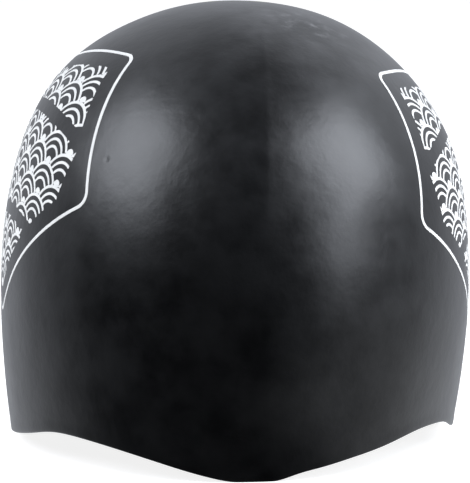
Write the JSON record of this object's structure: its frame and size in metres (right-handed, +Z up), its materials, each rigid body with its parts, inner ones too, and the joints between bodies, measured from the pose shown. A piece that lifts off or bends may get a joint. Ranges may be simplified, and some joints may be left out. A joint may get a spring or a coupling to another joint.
{
  "type": "reversible swim cap",
  "caption": "Black moulded silicone swim cap with a hollow dome, a four-lobed rim and a white scale-pattern panel on each side.",
  "frame": {"origin": "middle of the bounding box's bottom, on the plane that the rim rests on", "axes": "+Z up through the crown, +Y towards the brow, -Y towards the nape, X from ear to ear"},
  "size_m": [0.1538, 0.1899, 0.1431],
  "materials": {
    "black_silicone": "satin, softly mottled",
    "white_print": "satin ink film"
  },
  "bodies": {
    "root": {"cap_shell": "black_silicone"}
  },
  "joints": []
}
